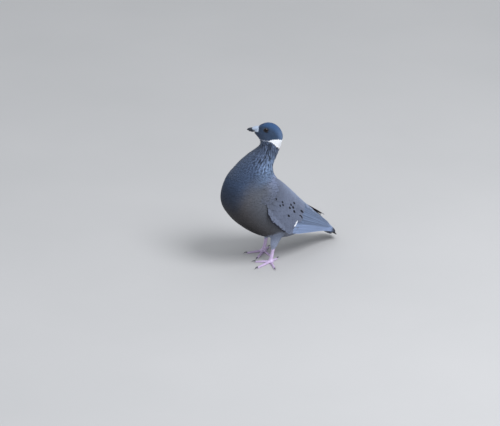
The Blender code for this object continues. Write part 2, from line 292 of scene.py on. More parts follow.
def attach(mesh, name, values, kind="FLOAT_VECTOR", domain="POINT"):
    """Store an array on a mesh as an attribute."""
    if kind == "FLOAT_COLOR":
        values = np.c_[values, np.ones(len(values))]
    key = {"FLOAT_VECTOR": "vector", "FLOAT_COLOR": "color", "FLOAT": "value", "FLOAT2": "vector"}[kind]
    made = mesh.attributes.new(name, kind, domain)
    made.data.foreach_set(key, np.ascontiguousarray(values, np.float32).ravel())


def form(name, grid, places, closed):
    """A hidden working surface that feathers are rooted on and laid over."""
    made = mesh_object(name, grid, grid_faces(*grid.shape[:2], closed))
    attach(made.data, "place", places)
    return made


def three(a, b, c):
    return np.stack(np.broadcast_arrays(a, b, c), -1)


BODY_T, BODY_ANGLE = lattice(np.linspace(-1, 20, 253), circle(144, math.pi, -math.pi))
body_grid = on_body(BODY_T, BODY_ANGLE)
body_form = form("body_form", body_grid, three(BODY_T, np.cos(BODY_ANGLE), np.sin(BODY_ANGLE)), True)

# ---- The wings' outer sides ----
# Each folded wing is a bowed blade from the wrist, beside the breast, to the primaries' tips over the tail.
# Its coverts are lilac grey with small black spots, and its flight feathers are bluer, with black tips.

TRUNK_PITCH = math.radians(46.0)
TRUNK_CENTRE = (-4.0, 87.5)
# Along the trunk, then the upper edge, the bow and the lower edge of the outer side (dorsal, left).
WING = np.array([
    (56, 26, 32, 21, 41, 11, 42), (50, 33, 25, 30, 45.5, -4, 46.3), (37, 37, 17, 36, 49, -16, 47.8),
    (20, 39, 11, 39, 49, -21, 47.2), (-4, 40, 7, 40, 47, -21.5, 45), (-28, 40, 6, 39, 43.5, -18, 41.5),
    (-50, 40.5, 5, 39, 39, -8, 38), (-84, 42.5, 4, 41, 29, 14, 28.5), (-108, 44, 4, 42, 20, 28.5, 21),
    (-126, 45, 5, 43, 13, 36, 15.5), (-139, 44.5, 6, 43, 10, 38.5, 11),
], float)
TIP_SHIFT = {"left": (0.0, 0.0), "right": (8.0, 5.0)}   # the right wing's tip lies ahead of and over the left's
SHIFT_FROM = 6.0
SIDES = {"left": 1.0, "right": -1.0}

COVERT, COVERT_TOP_PAINTED_LIGHT, TERTIAL_BROWN_AND_SHADE = map(linear, ("#676e80", "#828ca2", "#484145"))
QUILL_BLUE, PRIMARY_BLUE, QUILL_DARK = map(linear, ("#66748c", "#7c8caa", "#2c2e38"))


def on_wing(t, v, word):
    """A point of a wing's outer side: the row, and the share of the way from its upper to its lower edge."""
    t, v = np.broadcast_arrays(np.asarray(t, float), np.asarray(v, float))
    along, top_d, top_l, bow_d, bow_l, low_d, low_l = through(WING, t)
    shift = np.maximum(0, t - SHIFT_FROM) / (len(WING) - 1 - SHIFT_FROM)
    along = along + TIP_SHIFT[word][0] * shift
    dorsal = top_d * (1 - v) ** 2 + bow_d * 2 * v * (1 - v) + low_d * v * v + TIP_SHIFT[word][1] * shift
    left = top_l * (1 - v) ** 2 + bow_l * 2 * v * (1 - v) + low_l * v * v
    x = along * math.cos(TRUNK_PITCH) - dorsal * math.sin(TRUNK_PITCH) + TRUNK_CENTRE[0]
    z = along * math.sin(TRUNK_PITCH) + dorsal * math.cos(TRUNK_PITCH) + TRUNK_CENTRE[1]
    return place(x, left * SIDES[word], z)


def off_wing(t, v, word):
    """The outward direction there."""
    back = on_wing(t + 0.02, v, word) - on_wing(t - 0.02, v, word)
    down = on_wing(t, v + 0.01, word) - on_wing(t, v - 0.01, word)
    return unit(np.cross(down, back)) * SIDES[word]


WING_T, WING_V = lattice(np.linspace(0, 10, 101), np.linspace(-0.12, 1.06, 60))
wing_form = {}
for word in SIDES:
    outwards = slice(None, None, int(SIDES[word]))   # the right wing's columns run the other way
    wing_form[word] = form("wing_form_" + word, on_wing(WING_T, WING_V, word)[:, outwards],
                           three(WING_T, WING_V, 0.0)[:, outwards], False)

# ---- Skin ----
# One soft thin hide under all the feathers, from the face to the toes. It is pink and scaly on the bare legs,
# and elsewhere takes the tint of the down that grows on it.

FLESH = ["trunk", "neck", "head", "wing_left", "wing_right"]
LEGS = [kind + "_" + word for word in SIDES for kind in (
    "drumstick", "tarsus", "toe_inner", "toe_middle", "toe_outer", "toe_hind")]
HIDE_VOXEL = 0.0009
HIDE_SWELL = 0.00025         # closes the fine gaps between the parts before they are made one
COAT_DEPTH = 0.0022
FACE_DEPTH = 0.0009
WING_FLESH_END = -62.0       # how far back along the trunk the wing's flesh reaches
SHANK_SWELL = 0.0006
LEG_PINK, THIGH_GREY = map(linear, ("#d3bddc", "#9aa3b8"))


def arrays(mesh):
    """A mesh's points, normals and edges as arrays."""
    points, normals = np.empty(len(mesh.vertices) * 3), np.empty(len(mesh.vertices) * 3)
    edges = np.empty(len(mesh.edges) * 2, int)
    mesh.vertices.foreach_get("co", points)
    mesh.vertex_normals.foreach_get("vector", normals)
    mesh.edges.foreach_get("vertices", edges)
    return points.reshape(-1, 3), normals.reshape(-1, 3), edges.reshape(-1, 2)


def relaxed(points, edges, share, pulls):
    """The points moved towards the middle of their neighbours, each by its share, once for every pull."""
    both = np.concatenate([edges, edges[:, ::-1]])
    count = np.maximum(np.bincount(both[:, 0], minlength=len(points)), 1)[:, None]
    for pull in pulls:
        middle = np.stack([np.bincount(both[:, 0], points[both[:, 1], axis], len(points)) for axis in range(3)], -1)
        points = points + (middle / count - points) * (pull * share)[:, None]
    return points


def reshaped(mesh, points):
    mesh.vertices.foreach_set("co", points.ravel())
    mesh.update()


def baked(piece):
    """The piece's mesh after its modifier, which is then gone."""
    mesh = bpy.data.meshes.new_from_object(piece.evaluated_get(bpy.context.evaluated_depsgraph_get()))
    piece.modifiers.clear()
    return mesh


def modified(piece, kind, **settings):
    change = piece.modifiers.new("change", kind)
    for name, value in settings.items():
        setattr(change, name, value)
    piece.data = baked(piece)
    return piece.data


def nearest(trees, points):
    """The closest hit on any of these surfaces to each point: its place, normal, face and distance."""
    return [min((tree.find_nearest(Vector(p)) for tree in trees), key=lambda hit: hit[3]) for p in points]


def reach(trees, points):
    return np.array([hit[3] for hit in nearest(trees, points)])


def declare(piece, slot, *nodes, coat=None):
    """Say what a piece is: fixed to the body, with this finish and in place of these CAD nodes.
    The slot is not used.
    """
    if coat:
        piece.data.materials.append(coat)
    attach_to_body(piece, "root")
    if nodes:
        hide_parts(*nodes)


raw = bmesh.new()
for node in FLESH + LEGS:
    bm = bmesh.new()
    bm.from_mesh(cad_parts[node].data)
    bmesh.ops.remove_doubles(bm, verts=bm.verts, dist=1e-6)
    bm.normal_update()
    for vert in bm.verts:
        vert.co += vert.normal * HIDE_SWELL
    if node.startswith("wing"):
        axis = Vector((math.cos(TRUNK_PITCH), 0, math.sin(TRUNK_PITCH)))
        middle = Vector(place(TRUNK_CENTRE[0], 0.0, TRUNK_CENTRE[1])) + axis * WING_FLESH_END * MM
        ends = bmesh.ops.bisect_plane(bm, geom=bm.verts[:] + bm.edges[:] + bm.faces[:],
                                      plane_co=middle, plane_no=-axis, clear_outer=True)
        bmesh.ops.edgeloop_fill(bm, edges=[e for e in ends["geom_cut"] if isinstance(e, bmesh.types.BMEdge)])
    part = bpy.data.meshes.new("part")
    bm.to_mesh(part)
    bm.free()
    raw.from_mesh(part)
    bpy.data.meshes.remove(part)
skin = mesh_object("skin", [], [])
raw.to_mesh(skin.data)
raw.free()
mesh = modified(skin, "REMESH", mode="VOXEL", voxel_size=HIDE_VOXEL, use_smooth_shade=True)
points, normals, edges = arrays(mesh)

# Where each point of the hide lies: on the nearest ring of the body, on a wing, or on a leg.
ready = bpy.context.evaluated_depsgraph_get()
wing_trees, thigh_trees = ([BVHTree.FromObject(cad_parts[kind + word], ready) for word in SIDES]
                           for kind in ("wing_", "drumstick_"))
on_form = nearest([BVHTree.FromObject(body_form, ready)], points)
body_reach = np.array([hit[3] for hit in on_form])
ring, around = (values.ravel()[np.array([hit[2] for hit in on_form])] for values in (BODY_T, BODY_ANGLE))
wing_reach = reach(wing_trees, points)
height = points[:, 2]
leg = (height < 0.058) & (body_reach > 0.0012) & (wing_reach > 0.003)
bare = np.clip((0.0275 - height) / 0.002, 0, 1) * leg
points = relaxed(points, edges, 1 - 0.75 * bare, (0.5, -0.52) * 10)
points = points + normals * (SHANK_SWELL * bare * np.clip((height - 0.005) / 0.006, 0, 1))[:, None]
reshaped(mesh, points)
whole_form = mesh_object("whole_form", [], [])
whole_form.data = mesh.copy()
normals = arrays(mesh)[1]
depth = COAT_DEPTH + (FACE_DEPTH - COAT_DEPTH) * np.clip((height - 0.192) / 0.012, 0, 1)
depth = np.where((wing_reach < 0.0008) | leg, FACE_DEPTH, depth) * (1 - bare)
mesh.vertices.foreach_set("co", (points - normals * depth[:, None]).ravel())
tint = np.where((wing_reach < 0.002)[:, None], COVERT, body_colour(ring, around)) * 0.75
tint = toward(np.where(leg[:, None], FLANK * 0.9, tint), LEG_PINK, bare[:, None])
attach(mesh, "ground", tint, "FLOAT_COLOR")
thinned = skin.vertex_groups.new(name="feathered")
thinned.add(np.flatnonzero((bare == 0) & (height < 0.19)).tolist(), 1.0, "REPLACE")
modified(skin, "DECIMATE", ratio=0.3, vertex_group="feathered")

# Soft hide: mottled, and finely wrinkled where it is bare.
hide, tree, surface = finish("scaly_leg_hide_and_down", 0.4, Specular_IOR_Level=0.45)
where = add(tree, "ShaderNodeTexCoord", out="Object")
clouds = add(tree, "ShaderNodeTexNoise", {"Vector": where, "Scale": 500.0, "Detail": 3.0})
mottle = add(tree, "ShaderNodeMapRange", (clouds, 0.3, 0.7, 0.8, 1.15))
ground = add(tree, "ShaderNodeAttribute", attribute_name="ground")
cover(tree, surface, add(tree, "ShaderNodeVectorMath", {"Vector": ground, "Scale": mottle}, operation="SCALE"),
      add(tree, "ShaderNodeTexVoronoi", {"Vector": where, "Scale": 900.0}), 0.35, 0.0003)
skin.data.materials.clear()
declare(skin, "slate_plumage", *FLESH, *LEGS, coat=hide)

# ---- How feathers are made and laid ----
# A contour feather is a thin vane of barbs on a central shaft, rooted in the skin and lying back over the
# roots of the next row. Its vane is a shallow lens here: crowned over the shaft, with edges that meet.

PATCH = 0.003                # each feather's place on the OFBake map


def vane_faces(rows, columns):
    """The faces of a closed vane on a grid of points that run from root to tip and across."""
    low = [(i * columns, (i + 1) * columns - 1, (i + 2) * columns - 1, (i + 1) * columns) for i in range(rows - 1)]
    top = [face[:1] + face[:0:-1] for face in grid_faces(rows, columns, False)]
    ends = [face[::-1] for face in grid_faces(rows, columns, False, True)[-2:]]
    return top + low + ends


def sharpen(mesh, columns):
    """Keep the shading of a vane's top and underside apart."""
    pairs = np.empty(len(mesh.edges) * 2, int)
    mesh.edges.foreach_get("vertices", pairs)
    column = pairs.reshape(-1, 2) % columns
    sharp = ((column[:, 0] == column[:, 1]) & np.isin(column[:, 0], (0, columns - 1)))
    mesh.attributes.new("sharp_edge", "BOOLEAN", "EDGE").data.foreach_set("value", sharp)


def vane(name, stations, columns, fullest, tip):
    """A flat vane one unit long and wide: fullest is where it is widest, and tip from 0, pointed, to 1, blunt."""
    x = np.array(stations)
    rise = np.clip(x / fullest, 0, 1) ** 0.6
    fall = np.clip((x - fullest) / (1 - fullest), 0, 1)
    half = 0.5 * (0.25 + 0.75 * rise) * np.maximum((1 - fall ** (1.4 + 1.6 * tip)) ** 0.6, 0.12)
    across = np.linspace(-1, 1, columns)
    made = mesh_object(name, three(x[:, None], half[:, None] * across, 0.0), vane_faces(len(x), columns))
    crown = (1 - across ** 2) * (0.4 + 0.6 * np.sin(math.pi * np.clip(x, 0, 1)))[:, None]
    attach(made.data, "blade", three(x[:, None], across, crown))
    sharpen(made.data, columns)
    return made


def new_tree(name, sockets):
    """A geometry tree with these inputs, and its group's inputs by name."""
    tree = bpy.data.node_groups.new(name, "GeometryNodeTree")
    tree.interface.new_socket("Geometry", in_out="OUTPUT", socket_type="NodeSocketGeometry")
    for socket, kind in sockets.items():
        tree.interface.new_socket(socket, in_out="INPUT", socket_type="NodeSocket" + kind)
    group = tree.nodes.new("NodeGroupInput")
    return tree, {s.name: s for s in group.outputs if s.name}


def run_tree(piece, tree, **values):
    """The piece's mesh after this tree, with the tree's inputs set by name."""
    change = piece.modifiers.new("nodes", "NODES")
    change.node_group = tree
    for item in tree.interface.items_tree:
        if item.in_out == "INPUT" and item.name in values:
            change[item.identifier] = values[item.name]
    piece.update_tag()
    bpy.context.view_layer.update()
    return baked(piece)


# Roots are scattered over a form no closer than the spacing, as many as the form's "here" lets through.
scatter, given = new_tree("feather_roots", {"Geometry": "Geometry", "Spacing": "Float", "Seed": "Int"})
squared = add(scatter, "ShaderNodeMath", (given["Spacing"], 2.0), operation="POWER")
crowd = add(scatter, "ShaderNodeMath", (2.0, squared), operation="DIVIDE")
strewn = add(scatter, "GeometryNodeDistributePointsOnFaces", {
    "Mesh": given["Geometry"], "Distance Min": given["Spacing"], "Density Max": crowd, "Seed": given["Seed"],
    "Density Factor": add(scatter, "GeometryNodeInputNamedAttribute", {"Name": "here"})},
    distribute_method="POISSON").node.outputs
facing = add(scatter, "GeometryNodeStoreNamedAttribute", {
    "Geometry": strewn["Points"], "Name": "out", "Value": strewn["Normal"]}, data_type="FLOAT_VECTOR")
as_points = add(scatter, "GeometryNodePointsToVertices", {"Points": facing})
scatter.links.new(as_points, add(scatter, "NodeGroupOutput").inputs[0])


def rooted(form, here, spacing, seed):
    """Roots on a form where here is above 0: their points, outward directions and stored places."""
    trial = bpy.data.objects.new("trial", form.data.copy())
    bpy.context.scene.collection.objects.link(trial)
    attach(trial.data, "here", here, "FLOAT")
    mesh = run_tree(trial, scatter, Spacing=spacing, Seed=seed)
    found = [arrays(mesh)[0]]
    for name in ("out", "place"):
        values = np.empty(len(mesh.vertices) * 3)
        mesh.attributes[name].data.foreach_get("vector", values)
        found.append(values.reshape(-1, 3))
    bpy.data.objects.remove(trial)
    return found


# The dressing puts a vane on each root, turned and sized by the root's own values, bends it over the form,
# sinks its root to the skin and raises its tip, and gives it its patch of the OFBake map.
dressing, given = new_tree("lay_vanes", {
    "Geometry": "Geometry", "Vane": "Object", "Form": "Object", "Root depth": "Float", "Tip rise": "Float",
    "Crown": "Float", "Patch": "Float", "Finish": "Material"})
stored = {name: add(dressing, "GeometryNodeInputNamedAttribute", {"Name": name}, data_type="FLOAT_VECTOR")
          for name in ("out", "lie", "size", "unwrap", "blade", "grain")}
turn = add(dressing, "FunctionNodeAxesToRotation", {"Primary Axis": stored["out"], "Secondary Axis": stored["lie"]},
           primary_axis="Z", secondary_axis="X")
one_vane = add(dressing, "GeometryNodeObjectInfo", {"Object": given["Vane"]}, out="Geometry")
copies = add(dressing, "GeometryNodeInstanceOnPoints", {
    "Points": given["Geometry"], "Instance": one_vane, "Rotation": turn, "Scale": stored["size"]})
solid_copies = add(dressing, "GeometryNodeRealizeInstances", {"Geometry": copies})
blade, grain = (add(dressing, "ShaderNodeSeparateXYZ", (stored[name],)).node.outputs for name in ("blade", "grain"))
to_tip = add(dressing, "ShaderNodeMath", (1.0, blade["X"]), operation="SUBTRACT")
tipward, rootward = (add(dressing, "ShaderNodeMath", pair, operation="POWER")
                     for pair in ((blade["X"], 2.0), (to_tip, 1.6)))
raised, sunk, crowned = (add(dressing, "ShaderNodeMath", pair, operation="MULTIPLY") for pair in (
    (tipward, given["Tip rise"]), (rootward, given["Root depth"]), (blade["Z"], given["Crown"])))
lift = add(dressing, "ShaderNodeMath", (raised, sunk), operation="SUBTRACT")
for more in (crowned, grain["Y"]):
    lift = add(dressing, "ShaderNodeMath", (lift, more), operation="ADD")
form_mesh = add(dressing, "GeometryNodeObjectInfo", {"Object": given["Form"]}, out="Geometry")
spot = add(dressing, "GeometryNodeInputPosition")
over, form_normal = (add(dressing, "GeometryNodeSampleNearestSurface", {
    "Mesh": form_mesh, "Value": add(dressing, kind), "Sample Position": spot}, data_type="FLOAT_VECTOR")
    for kind in ("GeometryNodeInputPosition", "GeometryNodeInputNormal"))
raised_by = add(dressing, "ShaderNodeVectorMath", {"Vector": form_normal, "Scale": lift}, operation="SCALE")
laid = add(dressing, "ShaderNodeVectorMath", (over, raised_by), operation="ADD")
bent = add(dressing, "GeometryNodeSetPosition", {"Geometry": solid_copies, "Position": laid})
centred = add(dressing, "ShaderNodeMath", (blade["X"], 0.5), operation="SUBTRACT")
halved = add(dressing, "ShaderNodeMath", (blade["Y"], 0.5), operation="MULTIPLY")
within = add(dressing, "ShaderNodeVectorMath", {
    "Vector": add(dressing, "ShaderNodeCombineXYZ", (centred, halved)), "Scale": given["Patch"]}, operation="SCALE")
corner = add(dressing, "ShaderNodeVectorMath", (within, stored["unwrap"]), operation="ADD")
mapped = add(dressing, "GeometryNodeStoreNamedAttribute", {
    "Geometry": bent, "Name": "OFBake", "Value": corner}, data_type="FLOAT2", domain="CORNER")
finished = add(dressing, "GeometryNodeSetMaterial", {"Geometry": mapped, "Material": given["Finish"]})
dressing.links.new(finished, add(dressing, "NodeGroupOutput").inputs[0])


def settle(piece, mesh, slot, coat=None):
    """Give a coat piece its final mesh, without the values that only the dressing needed."""
    for name in ("lie", "out", "size", "unwrap", "place"):
        if name in mesh.attributes:
            mesh.attributes.remove(mesh.attributes[name])
    piece.data = mesh
    declare(piece, slot, coat=coat)
    return piece


def dress(name, roots, out, lie, size, ground, unwrap, grain, vane, form, depth, rise, crown, coat, slot):
    """One coat piece: a vane on every root. Lengths are in metres; grain is (tone, lift, spot): the tone is
    random, except on the hackles, where it carries their painted furrow shade.
    """
    piece = mesh_object(name, roots, [])
    lie = unit(lie - out * (lie * out).sum(-1, keepdims=True))
    for key, values in (("lie", lie), ("out", out), ("size", size), ("unwrap", unwrap), ("grain", grain)):
        attach(piece.data, key, values)
    attach(piece.data, "ground", ground, "FLOAT_COLOR")
    mesh = run_tree(piece, dressing, Vane=vane, Form=form, **{
        "Root depth": depth, "Tip rise": rise, "Crown": crown, "Patch": PATCH, "Finish": coat})
    return settle(piece, mesh, slot)


def plumage(name, roughness, sheen, painted_root_shade, barbs, shaft, edge, spread, spots=False):
    """The look of a vane: its ground colour with painted shade towards the root, where it lies under the vane
    before, streaked by barbs, with a shaft and an edge.
    The barbs are drawn coarser than real ones, which are too fine to show."""
    made, tree, surface = finish(name, roughness, Sheen_Weight=sheen, Sheen_Roughness=0.5, Specular_IOR_Level=0.12)
    blade, grain = (add(tree, "ShaderNodeSeparateXYZ", (
        add(tree, "ShaderNodeAttribute", out="Vector", attribute_name=key),)).node.outputs
        for key in ("blade", "grain"))
    side = add(tree, "ShaderNodeMath", (blade["Y"],), operation="ABSOLUTE")
    slant = add(tree, "ShaderNodeMath", (side, 0.3), operation="MULTIPLY")
    barb = add(tree, "ShaderNodeMath", (blade["X"], slant), operation="SUBTRACT")
    where = add(tree, "ShaderNodeCombineXYZ", [add(tree, "ShaderNodeMath", pair, operation="MULTIPLY") for pair in (
        (barb, 14.0), (blade["Y"], 1.5), (grain["X"], 41.0))])
    streak = add(tree, "ShaderNodeTexNoise", {"Vector": where, "Scale": 1.0, "Detail": 3.0})
    rim = add(tree, "ShaderNodeMath", [add(tree, "ShaderNodeMapRange", band) for band in (
        (side, 0.72, 0.98), (blade["X"], 0.86, 0.98))], operation="MAXIMUM")
    # The shades are the barbs' streaks, painted shade towards the root, the tone, the shaft and the edge.
    shade, *shades = (add(tree, "ShaderNodeMapRange", change) for change in (
        (streak, 0.3, 0.7, 1 - barbs, 1 + barbs), (blade["X"], 0.15, 0.75, 1 - painted_root_shade),
        (grain["X"], 0.0, 1.0, 1 - spread, 1 + spread), (side, 0.05, 0.16, 1 + shaft),
        (rim, 0.0, 1.0, 1.0, 1 + edge)))
    for more in shades:
        shade = add(tree, "ShaderNodeMath", (shade, more), operation="MULTIPLY")
    ground = add(tree, "ShaderNodeAttribute", attribute_name="ground")
    colour = add(tree, "ShaderNodeVectorMath", {"Vector": ground, "Scale": shade}, operation="SCALE")
    if spots:
        ahead = add(tree, "ShaderNodeMath", (blade["X"], 0.83), operation="SUBTRACT")
        along, aside = (add(tree, "ShaderNodeMath", pair, operation="DIVIDE")
                        for pair in ((ahead, 0.17), (blade["Y"], 0.4)))
        squares = [add(tree, "ShaderNodeMath", (part, part), operation="MULTIPLY") for part in (along, aside)]
        away = add(tree, "ShaderNodeMath", squares, operation="ADD")
        within = add(tree, "ShaderNodeMapRange", (away, 1.15, 0.75))
        drop = add(tree, "ShaderNodeMath", (within, grain["Z"]), operation="MULTIPLY", use_clamp=True)
        colour = add(tree, "ShaderNodeMix", {"Factor_Float": drop, "A_Color": colour, "B_Color": "#12131c"},
                     "Result_Color", data_type="RGBA")
    cover(tree, surface, colour, streak, 0.25, 0.0004)
    return made


# ---- Body, neck and head feathers ----
# Small soft contour feathers, millimetres long on the face and longest on the rump. The neck's are narrow
# hackles with paler tips, the hood's lie so close that they look like plush.

CONTOUR = vane("contour_vane", (0, 0.2, 0.45, 0.7, 0.88, 1), 3, 0.55, 0.7)
HACKLE = vane("hackle_vane", (0, 0.25, 0.5, 0.75, 0.9, 1), 3, 0.5, 0.3)
PLUSH = vane("plush_vane", (0, 0.35, 0.7, 0.92, 1), 3, 0.55, 0.6)
# A feather's length and width in millimetres, where it is rooted at these rings.
LENGTH_AT = (-1, 0, 2, 4, 6, 8, 8.6, 10, 12, 13, 14, 16, 18, 20)
LENGTH = (20, 24, 20, 16, 12, 11, 12, 15, 12, 5.5, 4.6, 4.0, 3.0, 2.0)
WIDTH = (9, 10, 10, 8.5, 6.5, 6.0, 4.8, 3.0, 2.2, 2.4, 2.5, 2.3, 1.8, 1.3)
EYE_AT = (2.2, 8.7, 220.6)
EYE_RADIUS = 4.6
EYE_CLEAR = 0.0048           # no feather comes nearer to an eye's middle
ROWS_BACK = 9                # feathers that come out from under a wing have their roots this far under it
FURROWS = 34                 # the hackles lie in this many clumps round the neck
eye_centre = [turned(EYE_AT[0], side * EYE_AT[1], EYE_AT[2], 1.0) for side in SIDES.values()]

# Where the wings hide the body, and the shoulder, whose feathers lie over the wing's front, not under it.
sheet_trees = [BVHTree.FromObject(wing_form[word], ready) for word in SIDES]
SHEET_ROW = np.repeat(WING_T[:-1, 0], WING_T.shape[1] - 1)
SHEET_SHARE = WING_V[0, :-1]
grid_normals = unit(np.cross(np.roll(body_grid, -1, 1) - np.roll(body_grid, 1, 1), np.gradient(body_grid, axis=0)))
covered = np.zeros(BODY_T.shape, bool)
shoulder_grid = np.zeros(BODY_T.shape)
for index in np.ndindex(*BODY_T.shape):
    if BODY_T[index] < 9:
        start, way = Vector(body_grid[index]), Vector(grid_normals[index])
        covered[index] = any(tree.ray_cast(start - way * 0.001, way, 0.03)[0] for tree in wing_trees)
        if BODY_T[index] > 4.8:
            hit = nearest(sheet_trees, [start])[0]
            shoulder_grid[index] = hit[3] < 0.014 and SHEET_ROW[hit[2]] < 0.7
leaving = np.vstack([covered[:ROWS_BACK], covered[:-ROWS_BACK]])
open_grid = (~(covered & leaving)).astype(float)
rng = np.random.default_rng(7)


def near_wing(points):
    """The wing's row, share across and distance in centimetres at the place nearest to each point."""
    hits = nearest(sheet_trees, points)
    index = np.array([hit[2] for hit in hits])
    return SHEET_ROW[index], SHEET_SHARE[index % len(SHEET_SHARE)], np.array([hit[3] for hit in hits]) * 100


def near_row(points):
    """The wing's row beside each point, below 0 by its distance ahead of the wrist in centimetres."""
    row, share, away = near_wing(points)
    return np.where(row > 0.15, row, -away)


# At the shoulder the feathers fill the step from the body up to the wing.
points, normals, edges = arrays(whole_form.data)
beside = np.flatnonzero((points[:, 2] > 0.06) & (points[:, 2] < 0.165) & (points[:, 0] > 0.0))
fullness = np.zeros(len(points))
rows = near_row(points[beside])
fullness[beside] = np.clip((rows + 1.6) / 0.6, 0, 1) * np.clip((2.2 - rows) / 1.2, 0, 1)
filled = relaxed(points, edges, fullness, (1.0,) * 60)
outward_by = np.maximum(((filled - points) * normals).sum(1, keepdims=True), 0)
reshaped(whole_form.data, points + normals * outward_by)


def on_bare_face(t, angle):
    """Above 0 on the bare swollen skin round the bill's root, and 1 a millimetre inside its feathered edge."""
    x, z = on_oval(*through(RINGS, t + 1)[:4], np.cos(angle))
    return np.minimum(np.minimum(x - (14.2 + 0.14 * (224 - z)), z - (216.0 + 0.03 * (22 - x) ** 2)), 1)


def body_coat(name, low, high, spacing, seed, first, last, vane, look, slot, over=None, shown=0.75):
    """Dress a length of the body between two rings with the feathers that show from the first place to the last:
    a ring, or the collar's lower or upper edge. The share shown is how far along itself a feather shows."""
    here = (shoulder_grid if over else open_grid * (1 - shoulder_grid)) * (BODY_T > low) * (BODY_T < high)
    roots, out, places = rooted(body_form, here, spacing, seed)
    t, angle = places[:, 0], np.arctan2(places[:, 2], places[:, 1])
    length, width = (np.interp(t, LENGTH_AT, table) * MM for table in (LENGTH, WIDTH))
    back = on_body(t - 0.06, angle) - on_body(t, angle)
    lie = unit(back)
    seen = t - shown * length / np.maximum(np.linalg.norm(back, axis=1) / 0.06, 1e-4)
    first, last = (np.interp(np.abs(angle), COLLAR_ANGLES, edge) if isinstance(edge, tuple) else edge
                   for edge in (first, last))
    keep = (seen >= first) & (seen < last) & ((t < 17) | (on_bare_face(t, angle) < 0.3))
    tips = roots + lie * length[:, None]
    for centre in eye_centre:
        for part in (0.0, 0.5, 1.0):
            keep &= np.linalg.norm(roots + (tips - roots) * part - centre, axis=1) > EYE_CLEAR
    roots, out, t, angle, length, width, lie, seen = (
        values[keep] for values in (roots, out, t, angle, length, width, lie, seen))
    lie = unit(lie + rng.normal(0, 0.06, lie.shape))
    size = three(length * rng.uniform(0.9, 1.1, len(t)), width * rng.uniform(0.9, 1.1, len(t)), 1.0)
    # Hackle clumps: feathers in the furrows sit lower and carry painted shade, those on the ridges sit higher and
    # carry painted light.
    furrow_lift_and_shade = 0.5 + 0.5 * np.sin(angle * FURROWS + 1.3 * np.sin(3.1 * t) + 0.8 * np.sin(angle * 5))
    furrow_lift_and_shade = np.clip(furrow_lift_and_shade + rng.normal(0, 0.12, len(t)), 0, 1)
    furrow_lift_and_shade = 0.5 + (furrow_lift_and_shade - 0.5) * (step(8.6, 10.2, t) * (1 - 0.6 * step(1.9, 2.6, np.abs(angle))))[:, 0]
    grain = three(furrow_lift_and_shade if vane is HACKLE else rng.random(len(t)), rng.uniform(-0.0001, 0.0001, len(t)), 0.0)
    if vane is HACKLE:
        grain[:, 1] += (furrow_lift_and_shade - 0.5) * 0.0005
    near_tips, tips = (roots + lie * length[:, None] * part for part in (0.8, 1.0))
    # Painted shadow darkens the flank feathers in the slit under the wing's free edge, and the thigh's grey spreads a
    # little over the belly.
    row, share, away = near_wing(near_tips)
    share = np.where(roots[:, 1] < -BOX_CENTRE[1] * MM, 1 - share, share)
    painted_slit_shade = step(2.0, 2.4, row) * (1 - step(4.5, 4.9, row)) * (1 - step(0.1, 0.35, away)) * step(0.85, 0.95, share)
    colour = body_colour(seen, angle) * (1 - 0.7 * painted_slit_shade)
    if over:
        colour = toward(colour, COVERT * 0.86, step(-0.3, 2.4, near_row(near_tips)))
    if high < 10:
        colour = toward(colour, THIGH_GREY * 0.75, 1 - step(0.0, 0.008, reach(thigh_trees, tips)))
    unwrap = three(0.01 + 0.98 * (angle / (2 * math.pi) + 0.5), 0.01 + 0.98 * (t + 1) / 21, 0.0)
    return dress(name, roots, out, lie, size, colour, unwrap, grain, vane, over or body_form, *look, slot)


# Soft and matt: only the hackles are strongly streaked, dark at their edges, with painted shade in the
# furrows between their clumps and painted light on the ridges.
down = plumage("soft_slate_contour_feathers", 0.85, 0.03, 0.12, 0.1, -0.03, 0.05, 0.07)
streaked = plumage("streaked_neck_hackles", 0.6, 0.1, 0.3, 0.15, 0.0, -0.35, 0.7)
plush = plumage("plush_hood_feathers", 0.7, 0.1, 0.2, 0.1, 0.0, 0.06, 0.08)
white = plumage("white_collar_feathers", 0.75, 0.1, 0.1, 0.04, 0.0, 0.0, 0.04)

body_coat("rump_and_vent_feathers", -0.6, 2.8, 0.0032, 1, -99, 2.0, CONTOUR,
          (0.0022, 0.0003, 0.00012, down), "slate_plumage")
body_coat("belly_and_breast_feathers", 2.2, 9.6, 0.0023, 2, 2.0, 8.4, CONTOUR,
          (0.0010, 0.00010, 0.00015, down), "slate_plumage")
body_coat("shoulder_feathers", 4.9, 9.0, 0.0022, 6, -99, 8.4, CONTOUR,
          (0.0020, 0.0006, 0.0002, down), "slate_plumage", whole_form)
body_coat("neck_hackles", 8.2, 14.4, 0.0016, 3, 8.4, COLLAR_FOOT, HACKLE,
          (0.0016, 0.0003, 0.00015, streaked), "neck_plumage")
body_coat("collar_feathers", 11.0, 15.0, 0.0008, 4, COLLAR_FOOT, COLLAR_TOP, PLUSH,
          (0.0012, 0.0003, 0.0001, white), "hood_plumage", shown=0.95)
body_coat("hood_feathers", 12.0, 20.0, 0.00095, 5, COLLAR_TOP, 99, PLUSH,
          (0.0010, 0.00008, 0.00006, plush), "hood_plumage", shown=1.0)

# ---- Wing coverts ----
# Broad rounded feathers in rows like roof tiles, small at the wrist and longest over the flight feathers.
# A few carry a small black drop near the tip. The scapulars from the shoulder cover the wing's upper edge.

COVERT_VANE = vane("covert_vane", (0, 0.2, 0.4, 0.6, 0.76, 0.88, 0.96, 1), 5, 0.6, 0.9)
